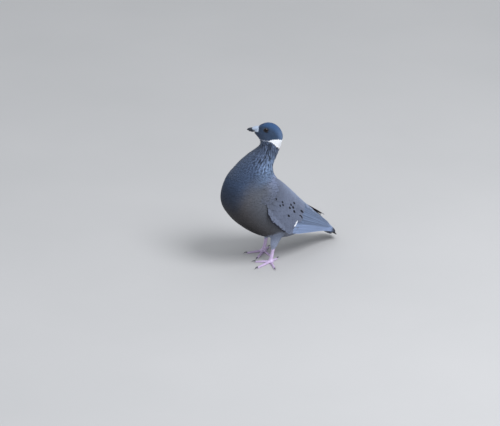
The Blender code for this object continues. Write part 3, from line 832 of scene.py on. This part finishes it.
# The drops, by the wing's row and the share across it.
SPOTS = ((1.9, 0.72), (2.8, 0.68), (2.8, 0.75), (3.1, 0.70), (3.7, 0.70), (3.9, 0.64), (4.1, 0.54),
         (4.05, 0.6), (4.1, 0.76), (4.5, 0.65), (4.62, 0.54), (5.15, 0.58), (5.15, 0.68))
SPOT_ALONG = 0.8             # how far along its feather a drop lies
SPOT_REACH = 0.006           # a drop goes on the nearest feather within this
TILE_DEPTH, TILE_CROWN = 0.0012, 0.00012
# Matt vanes with a faint shaft and a slightly paler edge, so that each one shows.
tile = plumage("lilac_grey_covert_feathers", 0.75, 0.1, 0.12, 0.08, -0.1, 0.06, 0.06, True)


def across_length(t):
    """Metres over the wing's outer side from its upper to its lower edge."""
    line = on_wing(np.asarray(t, float)[..., None], np.linspace(0, 1, 30), "left")
    return np.linalg.norm(np.diff(line, axis=-2), axis=-1).sum(-1)


def tiled(first, last, pitch, gap, upper, lower):
    """Rows of roots from one distance along the trunk to another, every other row offset by half a place. The
    pitch between rows and the gap between neighbours are in millimetres, for the first row and the last."""
    places = []
    along, row = first, 0
    while along > last:
        spaces = [ends[0] + (ends[1] - ends[0]) * (first - along) / (first - last) for ends in (pitch, gap)]
        t = float(np.interp(-along, -WING[:, 0], np.arange(len(WING))))
        count = max(2, round(float(across_length(t)) * (lower - upper) / (spaces[1] * MM)))
        for k in range(count):
            places.append((t, upper + (lower - upper) * (k + 0.25 + 0.5 * (row % 2)) / count, *spaces))
        along, row = along - spaces[0], row + 1
    return np.array(places).T


def lay_coverts(name, word, rows, length, width, rise, colour, spotted=False):
    """Dress a wing with rows of feathers, so many times as long as their pitch and as wide as their gap."""
    t, v, pitch, gap = tiled(*rows)
    t = t + rng.normal(0, 0.015, len(t))
    v = v + rng.normal(0, 0.004, len(v))
    roots, out = on_wing(t, v, word), off_wing(t, v, word)
    lie = unit(on_wing(t + 0.1, v, word) - roots) + rng.normal(0, 0.025, roots.shape)
    size = three(pitch * length * MM, gap * width * MM, 1.0) * rng.uniform(0.95, 1.05, (len(t), 1))
    drops = np.zeros(len(t))
    shown = roots + unit(lie) * size[:, :1] * SPOT_ALONG
    for spot in SPOTS if spotted else ():
        away = np.linalg.norm(shown - on_wing(*spot, word), axis=1) + drops
        if away.min() < SPOT_REACH:
            drops[away.argmin()] = 1.0
    grain = three(rng.random(len(t)), rng.uniform(-0.00004, 0.00004, len(t)), drops)
    unwrap = three(0.02 + 0.96 * t / 10, 0.05 + 0.9 * v, 0.0)
    return dress(name + "_" + word, roots, out, lie, size, colour(t, v), unwrap, grain, COVERT_VANE,
                 wing_form[word], TILE_DEPTH, rise, TILE_CROWN, tile, "wing_plumage")


def covert_colour(t, v):
    """Palest along the upper edge, as painted light from above, and brownest at the wrist."""
    # Painted light from above: the wing's upper edge is paler.
    colour = toward(COVERT, COVERT_TOP_PAINTED_LIGHT, (1 - step(0.1, 0.55, v)) * (0.3 + 0.7 * step(0.3, 3.0, t)))
    colour = toward(colour, FLANK, (1 - step(0.2, 2.2, t)) * step(0.3, 0.9, v) * 0.7)
    return colour * (0.84 + 0.16 * step(0.4, 3.4, t))


def patch_colour(t, v):
    """The primary coverts: grey, with a white outer web over the flight feathers' roots."""
    white = step(4.6, 4.62, t) * step(0.78, 0.785, v) * (1 - step(0.905, 0.91, v))
    return toward(covert_colour(t, v), COLLAR_WHITE, white)


def rim_colour(t, v):
    """The small pale feathers over the wing's free lower edge."""
    return covert_colour(t, v) * 1.25


def shadow_under_wing_colour(t, v):
    """Painted shadow: a dark colour for the small feathers along the wing's free edge, where the slit between the
    wing and the flank lies in shade.
    """
    return QUILL_DARK * 0.8 + 0 * t[:, None]


for word in SIDES:
    # A row of dark small feathers under the wing's free edge paints the slit's shadow.
    lay_coverts("underwing_edge", word, (40, -14, (2.4, 2.4), (2.0, 2.0), 1.0, 1.025),
                4.0, 1.4, 0.0003, shadow_under_wing_colour)
    lay_coverts("marginal_coverts", word, (44, -24, (2.6, 2.6), (3.0, 3.0), 0.965, 1.005),
                5.0, 1.3, 0.0006, rim_colour)
    lay_coverts("lesser_coverts", word, (54, -2, (4.2, 6.5), (5.0, 7.6), 0.02, 0.99),
                3.2, 1.5, 0.0005, covert_colour, True)
    lay_coverts("greater_coverts", word, (-7, -12, (8.5, 8.5), (6.2, 6.2), 0.18, 0.77),
                3.6, 1.8, 0.0010, covert_colour, True)
    lay_coverts("primary_coverts", word, (0.3, -21.0, (5.0, 3.2), (4.0, 4.0), 0.72, 0.985),
                3.5, 1.9, 0.0012, patch_colour)
    lay_coverts("scapulars", word, (52, -46, (6.0, 9.0), (6.0, 7.5), -0.09, 0.24),
                3.2, 1.8, 0.0007, covert_colour)

# ---- Flight feathers ----
# Each wing has long stiff quills: nine primaries with black tips along its lower edge, ten bluer secondaries
# above them, and four broad tertials that close over both, the innermost browner. On the far, right wing the
# next tertial is brown too, as painted shade along that wing's top. Each is one vane, laid
# under the one above it. Like the tail's, they have pale edges and dark shafts.

quilled = plumage("blue_grey_quill_vanes", 0.6, 0.08, 0.0, 0.1, -0.3, 0.5, 0.12)
STATIONS = np.array((0, 0.08, 0.18, 0.3, 0.42, 0.54, 0.65, 0.75, 0.83, 0.9, 0.95, 0.98, 1.0))
ALONG = STATIONS[:, None]
ACROSS = np.array((-1, -0.5, 0, 0.5, 1))
WEBS = ACROSS * np.where(ACROSS < 0, 1.2, 0.8)   # the inner web is the wider one
QUILL_CROWN = 0.1            # how far, in millimetres, a vane's shaft stands over its flat underside
QUILL_LEAN = 0.55            # each vane leans, so that one edge stands over its neighbour
ROOT_DEPTH = 1.2
PRIMARY_TIPS = (9.95, 10.2, 10.15, 9.95, 9.7, 9.45, 9.2, 8.95, 8.7)   # the wing's rows that they reach
SECONDARIES, TERTIALS = 10, 4
RIGHT_OVER_LEFT = 1.4        # how far each of the right wing's inner feathers stands over the one before


def quill(surface, flipped, half_width, tip):
    """A long vane: the surface gives points from the share along it, the distance across and the height."""
    fall = np.clip((STATIONS - 0.6) / 0.4, 0, 1)
    half = half_width * np.clip(0.5 + STATIONS * 4, 0, 1) * np.maximum((1 - fall ** (1.6 + 2.4 * tip)) ** 0.6, 0.08)
    crown = (1 - ACROSS ** 2) * QUILL_CROWN * np.clip(half / half_width, 0.2, 1)[:, None]
    points = surface(ALONG, half[:, None] * WEBS, crown + QUILL_LEAN * WEBS)
    blades = three(ALONG, ACROSS, crown)
    return (points[:, ::-1], blades[:, ::-1]) if flipped else (points, blades)


def quill_piece(name, quills, slot):
    """One mesh of many quills, each with its own strip of the OFBake map, so that its dark tip shows there."""
    rows, columns = len(STATIONS), len(ACROSS)
    points, blades, ground = (np.concatenate([q[k].reshape(-1, 3) for q in quills]) for k in range(3))
    piece = mesh_object(name, points, [tuple(k + number * rows * columns for k in face)
                                       for number in range(len(quills)) for face in vane_faces(rows, columns)])
    mesh = piece.data
    number = np.repeat(np.arange(len(quills)), rows * columns)
    attach(mesh, "blade", blades)
    attach(mesh, "grain", three(rng.random(len(quills))[number], 0.0, 0.0))
    attach(mesh, "ground", ground, "FLOAT_COLOR")
    sharpen(mesh, columns)
    strip = three(0.02 + 0.96 * blades[:, 0], (number + 0.5 + 0.35 * blades[:, 1]) / len(quills), 0.0)[:, :2]
    corners = np.empty(len(mesh.loops), int)
    mesh.loops.foreach_get("vertex_index", corners)
    attach(mesh, "OFBake", strip[corners], "FLOAT2", "CORNER")
    return settle(piece, mesh, slot, quilled)


def wing_quill(word, start, end, half_width, tip, sink, ground):
    """A quill from one place (row, share across) of the wing to another, this far under its outer side."""
    def surface(u, across, rise):
        t = start[0] + (end[0] - start[0]) * u
        v = start[1] + (end[1] - start[1]) * u ** 0.8 + across * MM / across_length(t[:, 0])[:, None]
        t = t + 0 * v
        root = ROOT_DEPTH - ROOT_DEPTH * np.clip(u * 3.2, 0, 1)
        depth = max(sink, 0) + root + min(sink, 0) * step(0.4, 0.75, u)[..., 0]
        return on_wing(t, v, word) + off_wing(t, v, word) * (rise - depth)[..., None] * MM
    t = start[0] + (end[0] - start[0]) * ALONG + 0 * ACROSS
    return *quill(surface, word == "left", half_width, tip), ground(t)


def primary_colour(t):
    return toward(0.93 * PRIMARY_BLUE, QUILL_DARK, step(8.9, 9.4, t))


def secondary_colour(t):
    return 0.93 * QUILL_BLUE + 0 * t[..., None]


# Brown: the innermost tertial's own colour, and painted shade on the far wing's next one.
def inner_colour(t):
    return toward(COVERT, TERTIAL_BROWN_AND_SHADE, step(5.3, 5.9, t))


for word in SIDES:
    quills = [wing_quill(word, (4.4, 0.955 - 0.016 * k), (tip_row, 0.96 - 0.065 * k), 5.2, 0.3, 0.5, primary_colour)
              for k, tip_row in enumerate(PRIMARY_TIPS)]
    quills += [wing_quill(word, (4.3, 0.80 - 0.055 * k), (8.75 - 0.05 * k, 0.66 - 0.055 * k), 6.5, 0.7, 0.25,
                          secondary_colour) for k in range(SECONDARIES)]
    for k in range(TERTIALS):
        # The innermost tertial is brown. On the far, right wing the next one is brown too, as painted shade along
        # that wing's top, and both stand out so that they show.
        brown_and_shade = k > 2 - (word == "right")
        stands = -RIGHT_OVER_LEFT * (k - 1) if brown_and_shade and word == "right" else 0.0
        quills.append(wing_quill(
            word, (4.0, 0.30 - 0.08 * k), (8.2 - 0.3 * k - 0.4 * stands, 0.24 - 0.06 * k), 8.5, 0.8, stands,
            inner_colour if brown_and_shade else secondary_colour))
    quill_piece("flight_feathers_" + word, quills, "wing_plumage")

# ---- Tail feathers ----
# Twelve stiff quills, closed like a hand of cards under the middle pair, blue grey with a broad black end.
# Each pair lies a little under the last and is a little shorter.

TAIL_ROOT = np.array((-86.0, 40.0))
TAIL_TIP = np.array((-136.0, 8.2))
TAIL_GREY = QUILL_BLUE * 0.9
TAIL_PAIRS = 6
PAIR_UNDER, SIDE_UNDER = 0.33, 0.35          # how far, in millimetres, each pair and each side lies under the last
PAIR_SHORTER = 0.012                         # and how much shorter each pair is than the last


def tail_quill(side, k):
    line = TAIL_TIP - TAIL_ROOT
    length = np.linalg.norm(line)
    rise_x, rise_z = line[1] / length, -line[0] / length

    def surface(u, across, rise):
        along = u * (1 - PAIR_SHORTER * k)
        height = rise - PAIR_UNDER * k - SIDE_UNDER * side
        y = side * ((0.8 + 0.3 * k) + (1.0 + 1.45 * k) * u + across)
        return place(*np.broadcast_arrays(TAIL_ROOT[0] + line[0] * along + rise_x * height, y,
                                          TAIL_ROOT[1] + line[1] * along + rise_z * height))
    return *quill(surface, side > 0, 6.2, 0.9), toward(TAIL_GREY, QUILL_DARK, step(0.6, 0.66, ALONG + 0 * ACROSS))


tail = quill_piece("tail_feathers", [tail_quill(side, k) for k in range(TAIL_PAIRS) for side in (1, -1)],
                   "tail_plumage")
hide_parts("tail")

# ---- Thigh feathers ----
# Short downy feathers run down each leg to the heel, like a trouser leg. They are the same soft vanes as the
# belly's, rooted round a tapering form and fixed in the skin under it.

FEET = {                     # where each foot stands, in millimetres, and which way its toes point, in degrees
    "left": dict(at=(10.0, 21.0), inner=-37, middle=12, outer=66, hind=195),
    "right": dict(at=(-8.0, -21.0), inner=80, middle=34, outer=-18, hind=205),
}
# Forward of the foot, up, half the length and half the width.
THIGH = np.array([(-15, 56, 13, 12), (-13, 46, 10.5, 9.5), (-9.5, 37, 7.5, 7), (-7, 30, 5.6, 5),
                  (-6, 26.4, 4.4, 3.9)])
THIGH_SPACING, THIGH_SEED = 0.0017, 8


def on_thigh(t, angle, word):
    x, z, half_length, half_width = through(THIGH, t)
    at = FEET[word]["at"]
    return place(at[0] + x + half_length * np.cos(angle), at[1] + half_width * np.sin(angle), z + 0 * angle)


THIGH_T, THIGH_ANGLE = lattice(np.linspace(0, 4, 40), circle(48, -math.pi, math.pi))
for word in SIDES:
    thigh_form = form("thigh_form", on_thigh(THIGH_T, THIGH_ANGLE, word)[:, ::-1],
                      three(THIGH_T, np.cos(THIGH_ANGLE), np.sin(THIGH_ANGLE))[:, ::-1], True)
    roots, out, places = rooted(thigh_form, THIGH_T[:, ::-1] > 0.5, THIGH_SPACING, THIGH_SEED)
    t, angle = places[:, 0], np.arctan2(places[:, 2], places[:, 1])
    lie = unit(on_thigh(t + 0.1, angle, word) - on_thigh(t, angle, word)) + rng.normal(0, 0.06, roots.shape)
    long = np.interp(t, (0, 4), (12, 5)) * MM
    unwrap = three(0.02 + 0.96 * (angle / (2 * math.pi) + 0.5), t / 4.2, 0.0)
    dress("thigh_feathers_" + word, roots, out, lie, three(long, long * 0.5, 1.0),
          THIGH_GREY * (1 - 0.25 * (1 - step(0.3, 1.4, t))), unwrap, three(rng.random(len(t)), 0.0, 0.0),
          CONTOUR, whole_form, 0.0008, 0.0003, 0.0002, down, "slate_plumage")
    bpy.data.objects.remove(thigh_form)

# ---- Eyes ----
# Dark wet eyeballs set deep in a ring of bare slate lid. The iris is a dark brown-red round a black pupil.
# The lids are beaded skin, and each eye looks a little up along the face.

# Wet and clear: a smooth coat gives one bright glint.
eyeball, tree, surface = finish("wet_dark_eye", 0.15, Coat_Weight=0.3, Coat_Roughness=0.02, Specular_IOR_Level=0.08)
gaze = add(tree, "ShaderNodeSeparateXYZ", (
    add(tree, "ShaderNodeAttribute", out="Vector", attribute_name="gaze"),)).node.outputs
spread = add(tree, "ShaderNodeCombineXYZ", [
    add(tree, "ShaderNodeMath", (gaze[axis], 4.0), operation="MULTIPLY") for axis in "YZ"])
rays = add(tree, "ShaderNodeTexNoise", {"Vector": spread, "Scale": 3.0, "Detail": 2.0})
iris = add(tree, "ShaderNodeMix", {"Factor_Float": rays, "A_Color": "#150a08", "B_Color": "#2c140e"},
           "Result_Color", data_type="RGBA")
in_iris, past_iris = (add(tree, "ShaderNodeMapRange", (gaze["X"], *edge)) for edge in ((0.5, 0.54), (0.7, 0.76)))
with_pupil = add(tree, "ShaderNodeMix", {"Factor_Float": in_iris, "A_Color": "#060607", "B_Color": iris},
                 "Result_Color", data_type="RGBA")
cover(tree, surface, add(tree, "ShaderNodeMix", {
    "Factor_Float": past_iris, "A_Color": with_pupil, "B_Color": "#0b0a0c"}, "Result_Color", data_type="RGBA"))
# Dry, finely beaded skin.
lid_skin = grained("bare_slate_lid_skin", 0.55, "Voronoi", {"Scale": 2600.0}, "#3b414d", "#1c1f26", 0.5,
                   Specular_IOR_Level=0.4)

GAZE_UP = math.radians(17.6)
LID_OUT = 3.1                # how far out of the eye's middle its lids lie
LID_RADIUS = 3.35
LID_HALF = (0.6, 0.8)        # half a lid's breadth: the lower and the upper
LID_THICK = 0.75             # half a lid's thickness
for word, side in SIDES.items():
    def from_eye(ahead, out, up):
        """A point measured in millimetres from the eye's middle, ahead, out of the face and up along it."""
        outward, upward = (out * math.cos(GAZE_UP) - up * math.sin(GAZE_UP),
                           out * math.sin(GAZE_UP) + up * math.cos(GAZE_UP))
        return turned(EYE_AT[0] + ahead, side * (EYE_AT[1] + outward), EYE_AT[2] + upward, 1.0)
    down_from, around = lattice(np.linspace(0.02, math.pi - 0.02, 24), circle(32))
    ahead, up = (np.sin(down_from) * part for part in (np.cos(around), np.sin(around)))
    ball = from_eye(*(EYE_RADIUS * part for part in (ahead, np.cos(down_from), up)))
    eye = mesh_object("eye_ball_" + word, ball, [face[::int(side)] for face in grid_faces(24, 32, ends=True)])
    attach(eye.data, "gaze", three(down_from, ahead, up))
    declare(eye, "dark_brown_eye", "eye_" + word, coat=eyeball)
    around, about = lattice(circle(48), circle(12))
    half = LID_HALF[0] + (LID_HALF[1] - LID_HALF[0]) * np.clip(np.sin(around), 0, 1)
    from_middle = LID_RADIUS + half * np.cos(about) * 0.8 + 0.25 * np.cos(2 * around)
    ring = from_eye(from_middle * np.cos(around), LID_OUT + LID_THICK * np.sin(about),
                    from_middle * np.sin(around) * 0.95)
    faces = [tuple(k % (48 * 12) for k in face)[::int(side)] for face in grid_faces(49, 12)]
    lids = mesh_object("lids_" + word, ring, faces)
    declare(lids, "black_horn", coat=lid_skin)

# ---- Bill and cere ----
# A short black horn bill, hooked a little at its tip, over a soft swollen cere with a white powdery bloom.
# Each nostril is a slit under the cere's front edge. The bare skin runs back to the mouth's corners.


def on_face(z):
    """How far forward the face is at this height, with the gap in front of it."""
    slope = (22.1 - 13.5) / (223.8 - 214.7)
    return 13.5 + (223.8 - z) * slope + 0.3 * math.hypot(1, slope)


# Upper point (x, z), lower point (x, z), half the width.
BILL_UPPER = np.array([
    (on_face(222.6), 222.6, on_face(216.8), 216.8, 3.4), (19.1, 222, 22.9, 216.8, 3.1), (23, 221.5, 24.7, 216.8, 2.6),
    (26.5, 221.2, 26.8, 217, 2.1), (29.7, 220.5, 29.3, 217.1, 1.7), (31.9, 219.1, 31.1, 216.8, 1.1),
    (32.9, 217.5, 32.2, 216.5, 0.5)])
BILL_LOWER = np.array([
    (on_face(216.8), 216.8, on_face(214.5), 214.5, 3.0), (23.9, 217.0, 24.3, 214.2, 2.5),
    (26.5, 217.2, 26.5, 214.6, 1.9), (29.1, 217.2, 29.1, 215.1, 1.2), (30.3, 216.9, 30.3, 215.9, 0.6)])
CERE = np.array([
    (on_face(223.7), 223.7, on_face(216.6), 216.6, 4.3), (17.1, 223.8, 22.9, 216.8, 4.3),
    (20, 223.1, 24.0, 217.6, 3.85), (22.6, 222.1, 24.9, 218.8, 2.9), (24.6, 221.3, 25.1, 220.2, 1.3)])
ROUND = 0.85                 # a beak's section: 1 is an oval, and below that it is squarer
GROOVE_HALF = 0.22           # half the groove's width, as an angle
NOSTRIL_AT = (23.6, 219.0)
NOSTRIL_LONG, NOSTRIL_HIGH, NOSTRIL_SLOPE = 1.7, 0.42, 0.25
FACE_UNDER, FACE_SWELL = 1.3, 1.6   # the bare skin starts under the plumage and swells out of it


def beak(name, rows, coat, slot, groove, node):
    """A rounded blade of horn or skin through these ovals, with a groove of this depth along its top."""
    t, around = lattice(np.linspace(0, len(rows) - 1, 33), circle(36, -math.pi, math.pi))
    *ends, half_width = through(rows, t)
    rise, aside = (np.sign(part) * np.abs(part) ** ROUND for part in (np.cos(around), np.sin(around)))
    x, z = on_oval(*ends, rise)
    z = z - groove * np.exp(-(around / GROOVE_HALF) ** 2)
    made = mesh_object(name, turned(x, half_width * aside, z, 1.0),
                       [face[::-1] for face in grid_faces(33, 36, ends=True)])
    ahead = x - NOSTRIL_AT[0]
    nostril = np.hypot(ahead / NOSTRIL_LONG, (z - NOSTRIL_AT[1] - ahead * NOSTRIL_SLOPE) / NOSTRIL_HIGH) * 0.5
    nostril = nostril + (np.abs(aside) < 0.5) * 2   # on the sides only
    attach(made.data, "nostril", 1 - step(0.3, 0.7, nostril), "FLOAT")
    declare(made, slot, node, coat=coat)


def bare_face(coat):
    """The swollen skin behind the cere, down to the mouth's corners: it comes out of the plumage there only."""
    t, angle = lattice(np.linspace(16.6, 20, 60), circle(160, math.pi, -math.pi))
    around = np.cross(on_body(t, angle - 0.01) - on_body(t, angle), on_body(t + 0.01, angle) - on_body(t, angle))
    rise = FACE_SWELL * step(-0.6, 0.5, on_bare_face(t, angle)) - FACE_UNDER
    points = on_body(t, angle) + unit(around) * rise * MM
    made = mesh_object("bare_face_skin", points, grid_faces(60, 160, ends=True))
    attach(made.data, "nostril", np.zeros(t.size), "FLOAT")
    declare(made, "powdery_cere", coat=coat)


# Polished horn with a faint growth grain, and dry powder with a soft bloom.
horn = grained("black_bill_horn", 0.34, "Noise", {"Scale": 420.0, "Detail": 4.0}, "#1d2027", "#3a3f4a", 0.15,
               Specular_IOR_Level=0.5)
bloom = grained("powdery_white_cere", 0.8, "Noise", {"Scale": 900.0, "Detail": 5.0}, "#8e9bae", "#bcc6d2", 0.3,
                "nostril", Sheen_Weight=0.15)
beak("upper_bill", BILL_UPPER, horn, "black_horn", 0.0, "bill_upper")
beak("lower_bill", BILL_LOWER, horn, "black_horn", 0.0, "bill_lower")
bare_face(bloom)
beak("white_cere", CERE, bloom, "powdery_cere", 0.5, "cere")

# ---- Claws and leg scales ----
# Black horn claws curve down from the toes. Overlapping pink plates run down the front of each shank and
# along the top of each toe, over a skin of fine round scales.

PAD_RADIUS = 5.2
# Each toe's length and width, and its claw's length.
TOES = {"inner": (19.5, 4.4, 6), "middle": (27, 4.8, 7), "outer": (23.5, 4.4, 6), "hind": (12, 4.0, 5.5)}
CLAW_BEND = math.radians(55)
TARSUS = np.array([(-5.9, 26.1, 2.7), (-4.8, 21, 2.1), (-2.6, 12, 2.1), (-0.8, 6, 3.0)])   # forward, up, half length
TOE_PLATES_EVERY = 2.0       # millimetres
SHANK_PLATES_EVERY = 0.19    # rows of the shank's table


def on_toe(word, toe, ahead, aside, up):
    """A point measured along a toe from the middle of its foot."""
    yaw = math.radians(FEET[word][toe])
    at = FEET[word]["at"]
    return place(*np.broadcast_arrays(
        at[0] + ahead * np.cos(yaw) - aside * np.sin(yaw), at[1] + ahead * np.sin(yaw) + aside * np.cos(yaw), up))


plates = []                  # the place, the way it lies, the way it faces and the size
for word in SIDES:
    for toe, (toe_length, width, claw_length) in TOES.items():
        s, around = lattice(np.linspace(0, 1, 15), circle(12))
        radius = width * (0.25 - 0.225 * s)
        middle = 2.2 + 0.9 * np.sin(math.pi * s) - 1.6 * s * s
        rise = radius * np.cos(around)
        ahead = PAD_RADIUS + toe_length - 0.6 + (claw_length + 0.7) * s + rise * np.sin(CLAW_BEND * s)
        points = on_toe(word, toe, ahead, radius * np.sin(around) * 0.85,
                        np.maximum(middle + rise * np.cos(CLAW_BEND * s), 0.05))
        claw = mesh_object("horn_claw_" + toe + "_" + word, points, grid_faces(15, 12, ends=True))
        claw.data.flip_normals()
        declare(claw, "black_horn", "claw_" + toe + "_" + word, coat=horn)
        for along in np.arange(0.02, 0.93, TOE_PLATES_EVERY / toe_length):
            high = width / 2 * (0.86 - 0.26 * along) * 1.8
            start, after = (on_toe(word, toe, PAD_RADIUS + along * toe_length + more, 0.0, high) for more in (0, 1.0))
            plates.append((start, after - start, (0, 0, 1), (0.0031, (0.0048 - 0.0014 * along) * width / 4.4, 1)))
    at = FEET[word]["at"]
    for row in np.arange(0.1, 2.8, SHANK_PLATES_EVERY):
        (x, z, half_length), (next_x, next_z, next_half) = through(TARSUS, row), through(TARSUS, row + 0.1)
        start = place(at[0] + x + half_length, at[1], z)
        plates.append((start, place(at[0] + next_x + next_half, at[1], next_z) - start, (1, 0, 0.2),
                       (0.0029, 0.0038, 1)))
roots, lie, out, size = map(np.array, zip(*plates))
count = len(plates)
SCUTE = vane("scute_plate", (0, 0.35, 0.7, 0.92, 1), 7, 0.3, 1.0)
# Smooth plates with darker edges, so that their overlaps show.
scales = plumage("pink_leg_plates", 0.42, 0.0, 0.15, 0.05, 0.05, -0.22, 0.07)
dress("leg_scutes", roots, unit(out), lie, size, np.tile(LEG_PINK, (count, 1)),
      three(np.arange(count) / count * 0.96 + 0.02, 0.5, 0.0), three(rng.random(count), 0.0001, 0.0), SCUTE,
      whole_form, 0.00035, 0.00012, 0.00006, scales, "pink_leg_scales")

# ---- The working forms go ----
# The working forms and the single vanes are no part of the bird, so they go.

for name in ("body_form", "wing_form_left", "wing_form_right", "whole_form",
             "contour_vane", "hackle_vane", "plush_vane", "covert_vane", "scute_plate"):
    bpy.data.objects.remove(bpy.data.objects[name])
